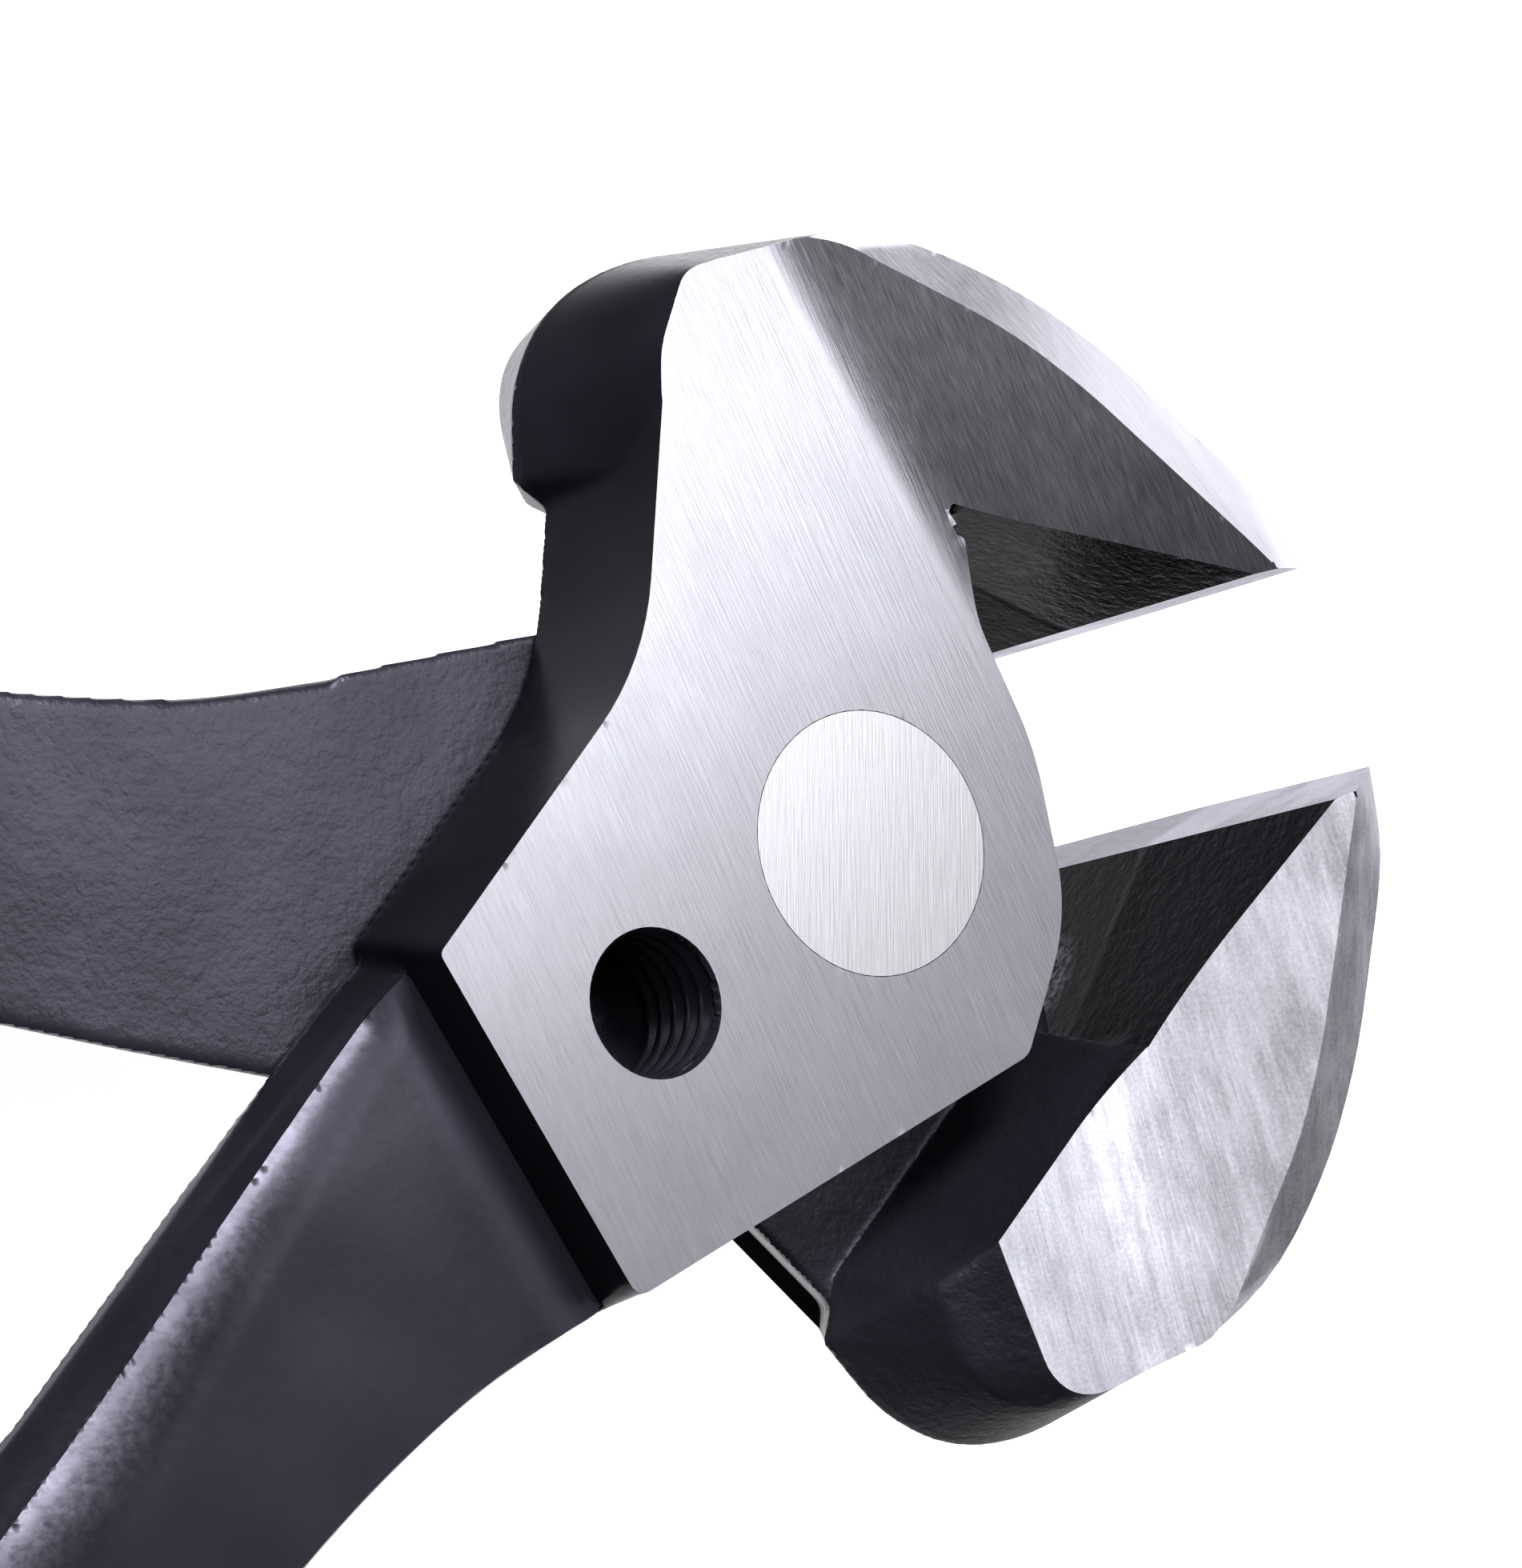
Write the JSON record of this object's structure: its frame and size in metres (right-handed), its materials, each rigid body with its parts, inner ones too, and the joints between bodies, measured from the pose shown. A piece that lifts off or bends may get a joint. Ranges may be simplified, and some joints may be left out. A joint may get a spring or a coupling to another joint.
{
  "type": "end cutting nippers",
  "caption": "End cutting nippers with two lapped forged halves on a flush rivet, flared cutting jaws, a threaded hole behind the joint and curved plastic sleeve grips.",
  "frame": {"origin": "centre of the rivet on the front ground face", "axes": "+X towards the jaws along the middle of the open mouth, +Y towards the front half's jaw, +Z out of the front ground face along the pivot"},
  "size_m": [0.1941, 0.1278, 0.0346],
  "materials": {
    "forged_steel": "charcoal finish on forged steel, ground bright on the joint face and the flare",
    "ground_steel": "ground flush with the face",
    "grip_plastic": "smooth red plastic sleeve"
  },
  "bodies": {
    "rear": {"rear_half": "forged_steel", "rear_grip": "grip_plastic", "rivet": "ground_steel"},
    "front": {"front_half": "forged_steel", "front_grip": "grip_plastic"}
  },
  "joints": [
    {"name": "pivot", "type": "hinge", "parent": "rear", "child": "front", "pos_m": [0, 0, -0.0072], "axis": [0, 0, 1], "range_deg": [-22.8, 21]}
  ]
}
